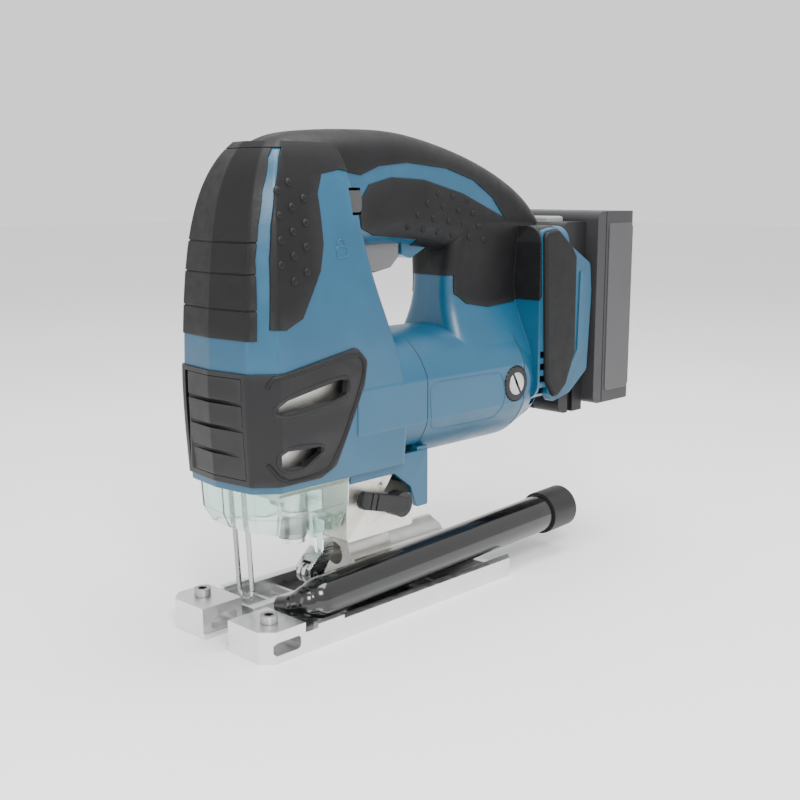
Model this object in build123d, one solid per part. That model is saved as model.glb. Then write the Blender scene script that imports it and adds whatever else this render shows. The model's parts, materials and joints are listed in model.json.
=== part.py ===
"""Cordless top-handle jigsaw: casings, gear train, motor, tilting base, dust nozzle and battery pack.

Frame: +X points to the front of the saw, +Y to its left side, +Z up.
The origin lies on the sole, midway between the front of the base and the back of the battery.
All sizes are in millimetres.
"""

import os
from math import atan, cos, pi, radians, sin, sqrt

from build123d import *

# ---------------------------------------------------------------- driving sizes
LENGTH = 296.0  # front of the base to the back of the battery
BASE_WIDTH = 77.0
BASE_LENGTH = 183.0
BODY_HALF = 33.0  # half width of the casing at the gear case and motor
BODY_FLOOR = 78.0  # underside of the casing above the sole
HANDLE_TOP = 244.5
SKIN = 2.6  # wall of the casing
PAD = 1.3  # depth of the rubber let into the casing
PROUD = 0.5  # how far the rubber stands out of the casing
GAP = 0.3  # clearance between moving bodies
FIT = 0.04  # radial running clearance of shafts

FRONT = LENGTH / 2
REAR = -LENGTH / 2

# motor
MOTOR_Z = 109.0
BARREL_R = 35.0
CAN_R = 26.0
CAN_WALL = 2.5
SHAFT_R = 3.0
BEARING_FRONT_X = 60.0
BEARING_FRONT_R = 7.0
BEARING_REAR_X = -58.0
BEARING_REAR_R = 8.0
BRUSH_X = -38.0
BRUSH_CAP_R = 10.0

# reduction gear and crank
MODULE = 0.7
PINION_TEETH = 12
GEAR_TEETH = 60
GEAR_X = 70.0
GEAR_WIDTH = 8.0
STUD_R = 4.0
STROKE = 26.0
CRANK_R = STROKE / 2
CENTRES = MODULE * (PINION_TEETH + GEAR_TEETH) / 2
GEAR_Z = MOTOR_Z + CENTRES

# plunger and blade clamp
PLUNGER_X = 98.0
PLUNGER_R = 5.0
PLUNGER_FLOOR = 57.5
PLUNGER_TOP = 184.0
CLAMP_FLOOR = 41.0
SLEEVE_R = 6.5
ROLLER_X = 88.5
ROLLER_Z = 22.0
ROLLER_R = 5.2

# tilting base
TILT_Z = 28.0
SEAT_R = 12.0
SADDLE_WALL = 3.0
DECK = 8.0  # top of the middle of the base above the sole
FOOT_TOP = 15.5
RAIL_TOP = 10.5
SLOT_HALF = 8.5
BOLT_R = 3.0
BOLT_X = 53.0
SLIDE_BACK = 20.0

# dust nozzle
NOZZLE_R = 10.3
NOZZLE_WALL = 1.6
COLLAR_R = 12.4

# battery
PACK_WIDTH = 75.0
PACK_FLOOR = 88.0
PACK_TOP = 203.0
PACK_DEPTH = 40.0
CELL_R = 9.0
CELL_LENGTH = 65.0
PACK_FRONT = REAR + PACK_DEPTH  # front of the wide half of the battery
NOSE_HALF = 29.0  # half width of the narrow half that enters the saw
NOSE_FRONT = -84.5

# controls
LOCK_X = 74.0
LOCK_Z = 210.0
LEVER_X = 52.0
LEVER_Z = 57.0


# ---------------------------------------------------------------- helpers
def block(x0, x1, y0, y1, z0, z1):
    """An axis-aligned box from its lowest to its highest corner."""
    return Pos((x0 + x1) / 2, (y0 + y1) / 2, (z0 + z1) / 2) * Box(x1 - x0, y1 - y0, z1 - z0)


def rod(axis, start, end, u, v, radius):
    """A cylinder along X, Y or Z; u and v are its two other coordinates in X, Y, Z order."""
    length = end - start
    middle = (start + end) / 2
    if axis == "X":
        return Pos(middle, u, v) * Rot(0, 90, 0) * Cylinder(radius, length)
    if axis == "Y":
        return Pos(u, middle, v) * Rot(90, 0, 0) * Cylinder(radius, length)
    return Pos(u, v, middle) * Cylinder(radius, length)


def ring(axis, start, end, u, v, outer, inner):
    """A tube along X, Y or Z."""
    return rod(axis, start, end, u, v, outer) - rod(axis, start - 1, end + 1, u, v, inner)


def plate(points, y0, y1, closed_curve=False):
    """An outline in X and Z, extruded from y0 to y1. A closed curve runs smoothly through its points."""
    flat = [Vector(x, 0, z) for x, z in points]
    edges = Spline(*flat, periodic=True) if closed_curve else Polyline(*flat, close=True)
    face = make_face(edges)
    solid = extrude(face, amount=1.0, dir=(0, 1, 0))
    return Pos(0, y0, 0) * scale(solid, by=(1, y1 - y0, 1))


def rounded(points, radius, y0, y1):
    """As plate, with every corner of the outline rounded."""
    face = make_face(Polyline(*[Vector(x, z) for x, z in points], close=True))
    face = fillet(face.vertices(), radius)
    solid = Rot(90, 0, 0) * extrude(face, amount=y1 - y0)
    return Pos(0, y1, 0) * solid


def both(shape):
    """The shape and its mirror image across the middle plane."""
    return shape + mirror(shape, about=Plane.XZ)


def pair(shape):
    """The shape and its mirror image as two separate solids."""
    return Compound(shape.solids() + mirror(shape, about=Plane.XZ).solids())


def left_half(shape):
    return shape & block(REAR - 50, FRONT + 50, 0, 80, -10, 400)


def right_half(shape):
    return shape & block(REAR - 50, FRONT + 50, -80, 0, -10, 400)


def soften(shape, edges, radii):
    """Rounds edges by the first of the radii that the shape allows."""
    for radius in radii:
        try:
            return fillet(edges, radius)
        except ValueError:
            continue
    return shape


def turned(shape, degrees, origin, direction):
    return shape.rotate(Axis(origin, direction), degrees)


# ---------------------------------------------------------------- casing envelope
def nose_section(z, front, back, half, inset):
    """Plan outline of the gear-case end: a blunt two-faced nose, raked corners and flat sides."""
    half, front, back = half - inset, front - inset, back + inset
    rake = 9.0 * half / BODY_HALF
    points = [
        (back, -half),
        (front - 1.5 * rake, -half),
        (front - 3.0, -half + rake),
        (front, 0),
        (front - 3.0, half - rake),
        (front - 1.5 * rake, half),
        (back, half),
    ]
    face = make_face(Polyline(*[Vector(x, y) for x, y in points], close=True))
    face = fillet(face.vertices(), max(1.5, 3.0 - inset / 2))
    return Pos(0, 0, z) * face


def gear_case_envelope(inset):
    rows = [
        (BODY_FLOOR, -3.0, 48, BODY_HALF - 1.5),
        (BODY_FLOOR + 24, -2.0, 48, BODY_HALF),
        (BODY_FLOOR + 66, -1.5, 58, BODY_HALF),
        (BODY_FLOOR + 98, -3.5, 71, BODY_HALF - 1.0),
        (BODY_FLOOR + 126, -7.5, 77, BODY_HALF - 4.5),
        (BODY_FLOOR + 145, -14.0, 79, BODY_HALF - 9.5),
        (HANDLE_TOP - 7.5, -25.0, 82, BODY_HALF - 17.0),
    ]
    faces = []
    for n, (z, front, back, half) in enumerate(rows):
        lift = inset if n == 0 else (-inset if n == len(rows) - 1 else 0)
        faces.append(nose_section(z + lift, FRONT + front, back, half, inset))
    return loft(faces)


def handle_envelope(inset):
    """The grip, lofted from rounded sections set out along X: (x, bottom, top, half width)."""
    top = HANDLE_TOP
    rows = [
        (126, top - 42, top - 17, 13.5),
        (114, top - 52, top - 6.5, 18.0),
        (94, top - 57, top - 1.8, 19.5),
        (62, top - 58, top, 19.0),
        (36, top - 57.5, top - 0.2, 18.5),
        (6, top - 60, top - 4.5, 18.0),
        (-24, top - 66, top - 12, 17.5),
        (-52, top - 74, top - 22.5, 17.5),
        (-70, top - 80, top - 33, 17.5),
        (-81, top - 82, top - 44, 16.0),
    ]
    faces = []
    for n, (x, low, high, half) in enumerate(rows):
        if n == 0:
            x -= inset
        if n == len(rows) - 1:
            x += inset
        width, height = 2 * (half - inset), high - low - 2 * inset
        radius = min(width, height) * 0.42
        section = Plane(origin=(x, 0, (low + high) / 2), x_dir=(0, 1, 0), z_dir=(1, 0, 0))
        faces.append(section * RectangleRounded(width, height, radius))
    return loft(faces)


def barrel_envelope(inset):
    """The motor barrel, flattened at its sides, with a stepped-in rear end."""
    radius = BARREL_R - inset
    flats = BODY_HALF + 0.4 - inset
    body = rod("X", -46 + inset, 84, 0, MOTOR_Z, radius)
    end = Pos(-56 + inset, 0, MOTOR_Z) * Rot(0, 90, 0) * Cone(radius - 6, radius, 20)
    return (body + end) & block(-90, 90, -flats, flats, MOTOR_Z - 60, MOTOR_Z + 60)


def column_envelope(inset):
    """The rear post between the motor barrel and the grip."""
    rows = [
        (MOTOR_Z + 4, -66, 2, 30.0),
        (MOTOR_Z + 22, -66, 1, 27.0),
        (MOTOR_Z + 40, -66, -1, 19.0),
        (MOTOR_Z + 60, -70, -2, 16.5),
        (MOTOR_Z + 92, -76, -10, 16.0),
    ]
    faces = []
    for z, back, front, half in rows:
        width, depth = front - back - 2 * inset, 2 * (half - inset)
        face = RectangleRounded(width, depth, min(9.0, depth * 0.3) - inset / 2)
        faces.append(Pos((front + back) / 2, 0, z) * face)
    return loft(faces)


WALL_BACK = -83.0  # rear face of the wall that the battery slides down
CHEEK = [
    (-56, 193), (-70, 194.5), (-84, 184), (-104, 173), (-106, 156),
    (-103, 110), (-86, 98), (-69, 94.5), (-59, 108), (-58, 150),
]  # fmt: skip


def mount_envelope(inset):
    """The wall that carries the battery rails."""
    body = block(WALL_BACK + inset, -56 - inset, -35 + inset, 35 - inset, 97 + inset, 195 - inset)
    edges = body.edges().filter_by(Axis.X)
    return fillet(edges, 9.0 - inset)


def envelope(inset):
    return (
        gear_case_envelope(inset)
        + barrel_envelope(inset)
        + column_envelope(inset)
        + handle_envelope(inset)
        + mount_envelope(inset)
    )


# ---------------------------------------------------------------- rubber and bumper outlines, in X and Z
GRIP_OUTLINE = [
    (170, 260), (170, 234.4), (116.5, 234.4), (120.2, 230), (127.3, 215), (131.3, 200),
    (133.6, 185), (135.6, 154), (128, 153.5), (118, 158),
    (106, 179), (103, 191), (102.5, 214), (97.5, 223), (86, 225), (68, 222.5), (55, 227),
    (35, 229), (4, 226.5), (-18, 220.5), (-34, 211.5), (-47, 198), (-43, 201), (-9, 213.5),
    (22, 220.5), (46, 221.5), (62, 218), (70, 208), (67, 197), (56, 193), (22, 190),
    (19, 170), (-5.5, 170), (-5.5, 160), (-13, 154.5), (-31, 151.5), (-54, 153), (-65, 163),
    (-69, 181), (-75, 196.5), (-110, 197), (-110, 260),
]  # fmt: skip
NOSE_PAD_OUTLINE = [
    (170, 149), (140.4, 149), (138.6, 185), (135.7, 200), (131.4, 215),
    (124.4, 230), (121, 234.1), (170, 234.1),
]  # fmt: skip
BUMPER_OUTLINE = [
    (170, 134), (129, 134), (85, 141.5), (78, 134.5), (80, 123), (98.5, 86), (108, 81.5), (170, 81.5),
]  # fmt: skip
WINDOW_UPPER = [(134, 120.5), (96, 127.3), (91, 126.5), (92, 120), (99, 118), (134, 114.5)]
WINDOW_LOWER = [(132.5, 98), (108.5, 97), (108, 94.5), (118, 88.8), (132.5, 90)]
BUMPER_PROUD = 1.0
OPENER_HALF = 21.0
OPENER_FLOOR = 84.5
OPENER_TOP = 131.5
KNUCKLE_R = 2.3
KNUCKLE_X = FRONT - 5.6
KNUCKLE_Y = -OPENER_HALF + KNUCKLE_R
# Casing screws: x, z and the depth of the head's seat.
SCREWS = [(87.5, 200, 24), (131.5, 141.5, 29), (-30, 143, 15), (-50, 86, 18)]
SCREW_R = 1.8
SCREW_HEAD_R = 3.6


def region(points, radius=0.0):
    """A flat outline in X and Z, drawn right through the saw."""
    face = make_face(Polyline(*[Vector(x, z) for x, z in points], close=True))
    if radius:
        face = fillet(face.vertices(), radius)
    return Pos(0, 60, 0) * Rot(90, 0, 0) * extrude(face, amount=120)


def opener_region(grow):
    half = OPENER_HALF + grow
    return block(FRONT - 12, FRONT + 20, -half, half, OPENER_FLOOR - grow, OPENER_TOP + grow)


# ---------------------------------------------------------------- casing
CHEEK_PAD = [
    (-57, 192), (-70, 193.5), (-83, 183.5), (-87.5, 178), (-88, 122), (-80, 104),
    (-70, 96), (-61, 108), (-59, 150),
]  # fmt: skip


def rear_cheek():
    """The left cheek that embraces the battery, with its rail."""
    face = region(CHEEK, 4.0) & block(-120, -50, 31, 35.5, 80, 210)
    rail = block(-98, -94, NOSE_HALF - 1.0, 31.5, 104, 172)
    strip = region([(-93.5, 170), (-99, 166), (-97, 122), (-80, 100), (-76, 101), (-92, 123)], 1.0)
    strip = strip - region(CHEEK_PAD, 4.0)
    return face + rail + (strip & block(-120, -50, 35, 36.3, 80, 210))


def casing_fin():
    """The web round the aluminium foot and the fin behind it."""
    skirt = [(92, 82), (85, 73), (54, 73), (42, 64), (37, 52), (29, 52), (29, 82)]
    sides = both(rounded(skirt, 1.0, 25.6, 28.4))
    return sides + block(29, 36.6, -28, 28, 53, 84)


def screw_bosses(inner):
    posts = [rod("Y", -40, 40, x, z, SCREW_R + 2.6) for x, z, seat in SCREWS]
    return Compound([post & inner for post in posts])


def screw_holes():
    cuts = []
    for x, z, seat in SCREWS:
        cuts.append(rod("Y", -seat, 12, x, z, SCREW_R))
        cuts.append(rod("Y", -60, -seat, x, z, SCREW_HEAD_R + 0.3))
    return cuts


def casing_screws():
    made = []
    for x, z, seat in SCREWS:
        shank = rod("Y", -seat, 11.5, x, z, SCREW_R - 0.02)
        head = rod("Y", -seat - 2.6, -seat, x, z, SCREW_HEAD_R)
        cross = block(x - 0.5, x + 0.5, -seat - 3, -seat - 1.2, z - 2.2, z + 2.2)
        made.append(shank + head - cross - turned(cross, 90, (x, 0, z), (0, 1, 0)))
    return Compound(made)


def motor_cradle():
    """Ribs that hold the motor can and the seat of the rear bearing."""
    ribs = [ring("X", x, x + 3, 0, MOTOR_Z, BARREL_R, CAN_R + 0.02) for x in (-16, 18)]
    seat = ring("X", -64, BEARING_REAR_X + 5, 0, MOTOR_Z, BEARING_REAR_R + 3, BEARING_REAR_R)
    return Compound(ribs + [seat])


def cover_plan(z, inset):
    return nose_section(z, FRONT - 3.0, 48, BODY_HALF - 1.5, inset)


def casing_parts():
    outer, middle, inner, proud = envelope(0), envelope(PAD), envelope(SKIN), envelope(-PROUD)
    grip, nose = region(GRIP_OUTLINE), region(NOSE_PAD_OUTLINE)
    trigger_hole = block(29.4, 64.4, -9.5, 9.5, 160, 200)
    lock_hole = block(LOCK_X - 6, LOCK_X + 8, -60, 60, LOCK_Z - 6.5, LOCK_Z + 6.5)
    mouth = extrude(cover_plan(BODY_FLOOR - 10, SKIN), amount=20)
    mouth = mouth & block(84.7, 200, -60, 60, 0, 200)
    foot_mouth = block(36.7, 85.2, -HOUSING_HALF - 0.2, HOUSING_HALF + 0.2, BODY_FLOOR - 10, BODY_FLOOR + 8)
    brush_holes = rod("Y", -60, 60, BRUSH_X, MOTOR_Z, BRUSH_CAP_R + 0.2)
    vents = [
        block(-65, -58, side * 31 - 10, side * 31 + 10, z - 1.9, z + 1.9)
        for side in (1, -1)
        for z in [MOTOR_Z - 21 + 7.0 * n for n in range(6)]
    ]
    terminal_room = block(-90, -70, -14.2, 14.2, 119, 166)
    lip = rounded([(28.5, 192), (27.5, 182), (21, 180), (6, 187), (6, 192)], 1.5, -8, 8)

    shell = outer + both(rear_cheek()) + casing_fin() + lip
    shell = shell - inner
    shell = shell + screw_bosses(inner) + (motor_cradle() & inner)
    shell = shell - ((outer - middle) & (grip + nose))
    shell = shell - region(BUMPER_OUTLINE, 4.0) - opener_region(0)
    openings = [trigger_hole, lock_hole, mouth, foot_mouth, brush_holes, terminal_room]
    for hole in openings + vents + screw_holes():
        shell = shell - hole

    skin = proud - middle
    rubber = (skin & grip) - trigger_hole - lock_hole - both(rear_cheek()) - lip
    nose_rubber = skin & nose
    surface = gear_case_envelope(0)
    for z in NOSE_GROOVES:
        nose_rubber = nose_rubber - (block(FRONT - 25, FRONT + 5, -40, 40, z, z + 0.8) - surface)

    frame_skin = gear_case_envelope(-BUMPER_PROUD) - gear_case_envelope(SKIN)
    knuckle = rod("Z", OPENER_FLOOR, OPENER_TOP, KNUCKLE_X, KNUCKLE_Y, KNUCKLE_R)
    knuckle_room = rod("Z", OPENER_FLOOR - GAP, OPENER_TOP + GAP, KNUCKLE_X, KNUCKLE_Y, KNUCKLE_R + 0.4)
    pin = rod("Z", OPENER_FLOOR - 2, OPENER_TOP + 2, KNUCKLE_X, KNUCKLE_Y, 1.0)
    bumper = (frame_skin & region(BUMPER_OUTLINE, 4.0)) - opener_region(GAP) - knuckle_room - pin
    for outline in (WINDOW_UPPER, WINDOW_LOWER):
        bumper = bumper - region(outline, 1.2)
    opener = frame_skin & opener_region(0)
    opener = opener & block(0, 200, KNUCKLE_Y, 60, 0, 200)
    for z in OPENER_GROOVES:
        opener = opener - block(FRONT - 3.6, FRONT + 5, -40, 40, z, z + 2.0)
    opener = opener + knuckle
    opener = opener - rod("Z", OPENER_FLOOR - 5, OPENER_TOP + 5, KNUCKLE_X, KNUCKLE_Y, 1.0 + FIT)
    return {
        "casing_left": left_half(shell),
        "casing_right": right_half(shell),
        "grip_rubber_left": left_half(rubber),
        "grip_rubber_right": right_half(rubber),
        "nose_rubber": nose_rubber,
        "front_bumper": bumper,
        "blade_opener": opener,
        "opener_pin": pin,
        "casing_screws": casing_screws(),
    }


NOSE_GROOVES = [162.0, 178.0, 192.0]
OPENER_GROOVES = [95.0, 107.0, 119.0]


def cheek_pad():
    pad = region(CHEEK_PAD, 4.0) & block(-120, -50, 35.5, 38.2, 80, 210)
    return soften(pad, pad.faces().sort_by(Axis.Y)[-1].edges(), (1.8, 1.2, 0.6))


# ---------------------------------------------------------------- gear housing
HOUSING_HALF = 25.5
HOUSING_WALL = 2.6
HOUSING_BACK = 50.0
HOUSING_FRONT = 124.0
HOUSING_FLOOR = 72.0
HOUSING_TOP = GEAR_Z + 32
FOOT_FLOOR = 42.0
FOOT_BACK = 37.0
FOOT_FRONT = 84.4
BUSH_R = 8.5
HOLDER_X = 80.0
HOLDER_Z = 64.0
HOLDER_PIN_R = 1.5
LEVER_SHAFT_R = 3.5
NUT_R = 6.0
WIRE_R = 1.25
WIRE_X = 132.0


def housing_room(inset):
    return gear_case_envelope(SKIN + inset) + barrel_envelope(SKIN + inset)


def gear_housing():
    case = block(HOUSING_BACK, HOUSING_FRONT, -HOUSING_HALF, HOUSING_HALF, HOUSING_FLOOR + 8, HOUSING_TOP)
    case = fillet(case.edges().filter_by(Axis.X).sort_by(Axis.Z)[2:], 7.0) & housing_room(0.6)
    chin = block(HOUSING_BACK, HOUSING_FRONT, -HOUSING_HALF, HOUSING_HALF, HOUSING_FLOOR, HOUSING_FLOOR + 12)
    chin = fillet(chin.edges().filter_by(Axis.X).sort_by(Axis.Z)[:2], 7.0)
    foot_half = HOUSING_HALF - 0.5
    foot = block(FOOT_BACK, FOOT_FRONT, -foot_half, foot_half, FOOT_FLOOR, HOUSING_FLOOR + 8)
    corner = block(FOOT_BACK - 1, HOUSING_BACK + 3, -30, 30, 62, 90)
    corner = turned(corner, -37, (HOUSING_BACK + 3, 0, 70.5), (0, 1, 0))
    foot = fillet((foot - corner).edges().filter_by(Axis.Y).sort_by(Axis.Z)[:2], 2.0)
    seat = rod("X", 40, 70, 0, TILT_Z, SEAT_R) + block(40, 70, -7.5, 7.5, TILT_Z, FOOT_FLOOR + 1)
    half = HOUSING_HALF - HOUSING_WALL
    hollow = block(HOUSING_BACK + 4, HOUSING_FRONT + 5, -half, half, HOUSING_FLOOR + 10, HOUSING_TOP - 4)
    hollow = hollow & housing_room(0.6 + HOUSING_WALL)
    hollow = hollow + block(HOUSING_BACK + 4, HOUSING_FRONT + 5, -half, half, HOUSING_FLOOR + 5, 88)
    hollow = hollow - rod("X", 50, BEARING_FRONT_X + 6, 0, MOTOR_Z, BEARING_FRONT_R + 2.5)
    hollow = hollow - rod("X", 50, GEAR_X - 1.5, 0, GEAR_Z, STUD_R + 4)
    body = case + chin + foot + seat - hollow
    body = body - rod("X", HOUSING_BACK - 1, BEARING_FRONT_X + 1, 0, MOTOR_Z, SHAFT_R + 0.6)
    body = body - rod("X", BEARING_FRONT_X, BEARING_FRONT_X + 7, 0, MOTOR_Z, BEARING_FRONT_R)
    body = body - rod("X", 56, GEAR_X, 0, GEAR_Z, STUD_R)
    body = body - rod("Z", HOUSING_FLOOR - 1, HOUSING_FLOOR + 6, PLUNGER_X, 0, BUSH_R)
    body = body - rod("Z", HOUSING_TOP - 5, HOUSING_TOP + 1, PLUNGER_X, 0, BUSH_R)
    body = body - block(73, FOOT_FRONT + 1, -7, 7, FOOT_FLOOR - 1, HOUSING_FLOOR)
    body = body - rod("Y", -13, 13, HOLDER_X, HOLDER_Z, HOLDER_PIN_R)
    body = body - rod("Y", -9, 60, LEVER_X, LEVER_Z, LEVER_SHAFT_R + FIT)
    body = body - rod("X", 43, 71, 0, TILT_Z, NUT_R + FIT) - bolt_sweep()
    for x, z in ((61.0, 67.5), (52.6, 67.8), (44.8, 62.8)):
        body = body - rod("Y", foot_half - 1.2, 40, x, z, 1.6)
    return body


def bolt_sweep():
    """The part of the seat that the clamp bolt swings through, 45 degrees to each side."""
    reach = SEAT_R + 8
    points = [(0.0, 0.0)]
    for angle in range(-45, 46, 15):
        points.append((reach * sin(radians(angle)), -reach * cos(radians(angle))))
    face = make_face(Polyline(*[Vector(y, z) for y, z in points], close=True))
    half = BOLT_R + 0.5
    sweep_room = Pos(BOLT_X - half, 0, TILT_Z) * extrude(Plane.YZ * face, amount=2 * half)
    arm = block(BOLT_X - half, BOLT_X + half, -half, half, TILT_Z - reach, TILT_Z)
    for degrees in (-45, 45):
        sweep_room = sweep_room + turned(arm, degrees, (0, 0, TILT_Z), (1, 0, 0))
    return sweep_room


def gear_cover():
    half = HOUSING_HALF
    lid = block(HOUSING_FRONT, HOUSING_FRONT + 3, -half, half, HOUSING_FLOOR, HOUSING_TOP)
    lid = fillet(lid.edges().filter_by(Axis.X), 7.0)
    lug = block(HOUSING_FRONT, WIRE_X + 3, -8, 8, 80, 86)
    holes = [rod("Z", 79, 87, WIRE_X, side * 5, WIRE_R) for side in (1, -1)]
    return (lid + lug) - holes[0] - holes[1]


def wire_guard():
    """A bent wire that keeps fingers off the blade."""
    top, low = 90.0, 24.0
    leg_foot = WIRE_X - 3
    pieces = []
    for side in (1, -1):
        points = [(WIRE_X, side * 5, top), (WIRE_X, side * 5, 74), (leg_foot, side * 5, low)]
        pieces += links(points, [WIRE_R] * 3)
    bend = [(leg_foot, 5, low)]
    for angle in range(0, 181, 30):
        bend.append((leg_foot, 5 * cos(radians(angle)), low - 5 * sin(radians(angle))))
    return fused(pieces + links(bend[1:], [WIRE_R] * 7))


def links(points, radii):
    """Straight round links from point to point with a ball at every joint between them."""
    made = []
    for n in range(len(points) - 1):
        start, end = Vector(*points[n]), Vector(*points[n + 1])
        span = end - start
        frame = Plane(origin=start + span * 0.5, z_dir=span.normalized())
        if abs(radii[n] - radii[n + 1]) < 1e-6:
            made.append(frame * Cylinder(radii[n], span.length))
        else:
            made.append(frame * Cone(radii[n], radii[n + 1], span.length))
        if n:
            made.append(Pos(*points[n]) * Sphere(radii[n]))
    return made


def fused(pieces):
    whole = pieces[0]
    for piece in pieces[1:]:
        whole = whole + piece
    return whole


def cover_taper(extra):
    upper = loft([cover_plan(81, SKIN + 0.3 + extra), cover_plan(64, SKIN + 1.2 + extra)], ruled=True)
    lower = loft([cover_plan(64, SKIN + 1.2 + extra), cover_plan(44, SKIN + 11 + extra)], ruled=True)
    return upper + lower


def clear_cover():
    """The see-through chip guard under the nose."""
    wall = (cover_taper(0) - cover_taper(1.6)) & block(85.6, 200, -60, 60, 20, 90)
    wall = wall & region([(200, 90), (85, 90), (85, 50), (100, 50), (132, 56), (200, 66)])
    leg = [(86.5, 58), (95, 58), (92.5, 36), (89.5, 35)]
    legs = both(rounded(leg, 0.8, 10.0, 12.5))
    bridge = both(block(86.5, 95, 12, 23.3, 55.5, 58))
    return wall + legs + bridge


# ---------------------------------------------------------------- gear train
def gear_outline(teeth):
    """A spur gear outline: involute flanks, short teeth and generous backlash."""
    pitch_r = MODULE * teeth / 2
    base_r = pitch_r * cos(radians(20))
    tip_r = pitch_r + 0.75 * MODULE
    root_r = pitch_r - 1.05 * MODULE

    def roll(radius):
        along = sqrt(max(0.0, (radius / base_r) ** 2 - 1))
        return along - atan(along)

    half = 0.84 * pi / (2 * teeth) + roll(pitch_r)
    flank_r = max(base_r, root_r + 0.05)
    radii = [root_r] + [flank_r + (tip_r - flank_r) * k / 3 for k in range(4)]
    points = []
    for n in range(teeth):
        centre = 2 * pi * n / teeth
        points += [(r, centre - half + roll(r)) for r in radii]
        points += [(r, centre + half - roll(r)) for r in reversed(radii)]
    return make_face(Polyline(*[Vector(r * cos(a), r * sin(a)) for r, a in points], close=True))


def gear(teeth, z, phase):
    """A spur gear about an X axis, its teeth turned by phase degrees."""
    solid = extrude(gear_outline(teeth), amount=GEAR_WIDTH)
    return Pos(GEAR_X, 0, z) * Rot(phase, 0, 0) * Rot(0, 90, 0) * solid


def gear_train():
    wheel = gear(GEAR_TEETH, GEAR_Z, 0)
    wheel = wheel - ring("X", GEAR_X + 5, GEAR_X + 9, 0, GEAR_Z, 18.3, 8.8)
    wheel = wheel + rod("X", GEAR_X + 3, GEAR_X + GEAR_WIDTH, CRANK_R, GEAR_Z, 4.8)
    wheel = wheel - rod("X", GEAR_X - 5, GEAR_X + 15, 0, GEAR_Z, STUD_R + FIT)
    wheel = wheel - rod("X", GEAR_X + 2, GEAR_X + 15, CRANK_R, GEAR_Z, 3)
    front = GEAR_X + GEAR_WIDTH
    pin = rod("X", GEAR_X + 2, front + 5, CRANK_R, GEAR_Z, 3)
    weight = ring("X", front, front + 4, 0, GEAR_Z, 20, 8) & block(0, 200, -30, -2, 0, 300)
    stud = rod("X", 56, front + 1.5, 0, GEAR_Z, STUD_R)
    pinion = gear(PINION_TEETH, MOTOR_Z, 180 / PINION_TEETH)
    pinion = pinion - rod("X", GEAR_X - 1, front + 1, 0, MOTOR_Z, SHAFT_R)
    return {
        "crank_gear": wheel,
        "crank_pin": pin,
        "crank_weight": weight,
        "crank_stud": stud,
        "motor_pinion": pinion,
    }


YOKE_BACK = GEAR_X + GEAR_WIDTH + 5.5


def plunger_parts():
    shaft = rod("Z", PLUNGER_FLOOR, PLUNGER_TOP, PLUNGER_X, 0, PLUNGER_R)
    shaft = chamfer(shaft.edges().sort_by(Axis.Z)[-1], 0.8)
    reach = CRANK_R + 6.5
    yoke = block(YOKE_BACK, YOKE_BACK + 6.5, -reach, reach, GEAR_Z - 7, GEAR_Z + 7)
    yoke = fillet(yoke.edges().filter_by(Axis.X), 4.0)
    hub = rod("Z", GEAR_Z - 7, GEAR_Z + 7, PLUNGER_X, 0, PLUNGER_R + 3)
    hub = hub + block(YOKE_BACK + 6, PLUNGER_X, -6, 6, GEAR_Z - 7, GEAR_Z + 7)
    slot = block(YOKE_BACK - 1, YOKE_BACK + 5, 4 - reach, reach - 4, GEAR_Z - 3.1, GEAR_Z + 3.1)
    bore = rod("Z", GEAR_Z - 8, GEAR_Z + 8, PLUNGER_X, 0, PLUNGER_R)
    bush = ring("Z", HOUSING_FLOOR - 1, HOUSING_FLOOR + 7, PLUNGER_X, 0, BUSH_R, PLUNGER_R + FIT)
    upper = Pos(0, 0, HOUSING_TOP - 5 - HOUSING_FLOOR) * bush
    clamp = rod("Z", CLAMP_FLOOR, PLUNGER_FLOOR, PLUNGER_X, 0, 5)
    clamp = clamp + rod("Z", CLAMP_FLOOR, CLAMP_FLOOR + 2.5, PLUNGER_X, 0, 6)
    clamp = clamp - block(PLUNGER_X - 4, PLUNGER_X + 4, -0.8, 0.8, CLAMP_FLOOR - 1, CLAMP_FLOOR + 13)
    sleeve = ring("Z", CLAMP_FLOOR + 2.8, PLUNGER_FLOOR - 2.4, PLUNGER_X, 0, SLEEVE_R, 5 + FIT)
    ear = block(PLUNGER_X + 5.5, PLUNGER_X + 10.5, -1.6, 1.6, CLAMP_FLOOR + 3.5, PLUNGER_FLOOR - 3)
    ear = fillet(ear.edges().filter_by(Axis.Y).sort_by(Axis.X)[2:], 1.5)
    sleeve = sleeve + turned(ear, 15, (PLUNGER_X, 0, 0), (0, 0, 1))
    cap = ring("Z", PLUNGER_FLOOR - 2, PLUNGER_FLOOR, PLUNGER_X, 0, SLEEVE_R, 5)
    return {
        "plunger": shaft,
        "drive_yoke": yoke + hub - slot - bore,
        "blade_clamp": clamp + cap,
        "clamp_sleeve": sleeve,
        "plunger_bushes": Compound([bush, upper]),
    }


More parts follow.
